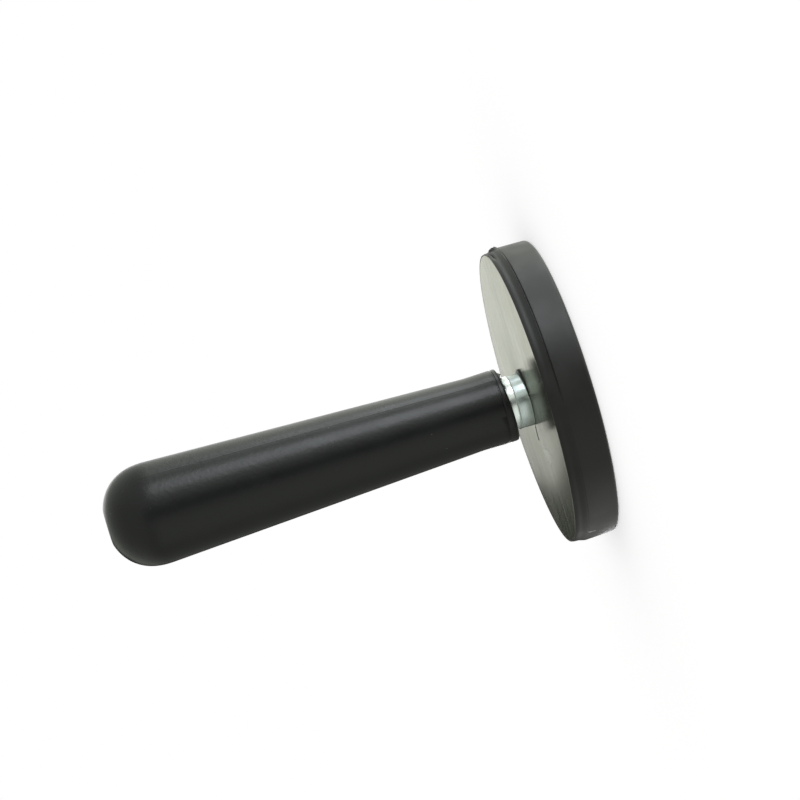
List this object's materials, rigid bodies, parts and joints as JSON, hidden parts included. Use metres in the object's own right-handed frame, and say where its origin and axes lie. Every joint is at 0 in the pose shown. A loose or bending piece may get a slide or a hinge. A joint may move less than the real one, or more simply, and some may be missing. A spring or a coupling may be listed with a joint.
{
  "type": "magnetic holder",
  "caption": "Disc magnet in a rubber jacket with a bare steel back plate and a tapered hand grip screwed to it, for placing, holding and pulling off steel things by hand.",
  "frame": {"origin": "centre of the magnet's contact face", "axes": "+Z out of the back plate along the grip's axis; +X towards the gate nub on the jacket's rim"},
  "size_m": [0.0664, 0.066, 0.104],
  "materials": {
    "grip_plastic": "black moulded plastic, satin",
    "jacket_rubber": "black moulded rubber, satin",
    "bare_steel": "bare rolled steel with fine scratches",
    "zinc_plate": "bright zinc plating on turned steel",
    "magnet_nickel": "nickel-plated sintered magnet"
  },
  "bodies": {
    "root": {"grip": "grip_plastic", "insert_stud": "zinc_plate", "plate_bush": "zinc_plate", "back_plate": "bare_steel", "rubber_jacket": "jacket_rubber", "magnet_01": "magnet_nickel", "magnet_02": "magnet_nickel", "magnet_03": "magnet_nickel", "magnet_04": "magnet_nickel", "magnet_05": "magnet_nickel", "magnet_06": "magnet_nickel", "magnet_07": "magnet_nickel", "magnet_08": "magnet_nickel", "magnet_09": "magnet_nickel", "magnet_10": "magnet_nickel", "magnet_11": "magnet_nickel", "magnet_12": "magnet_nickel"}
  },
  "joints": []
}
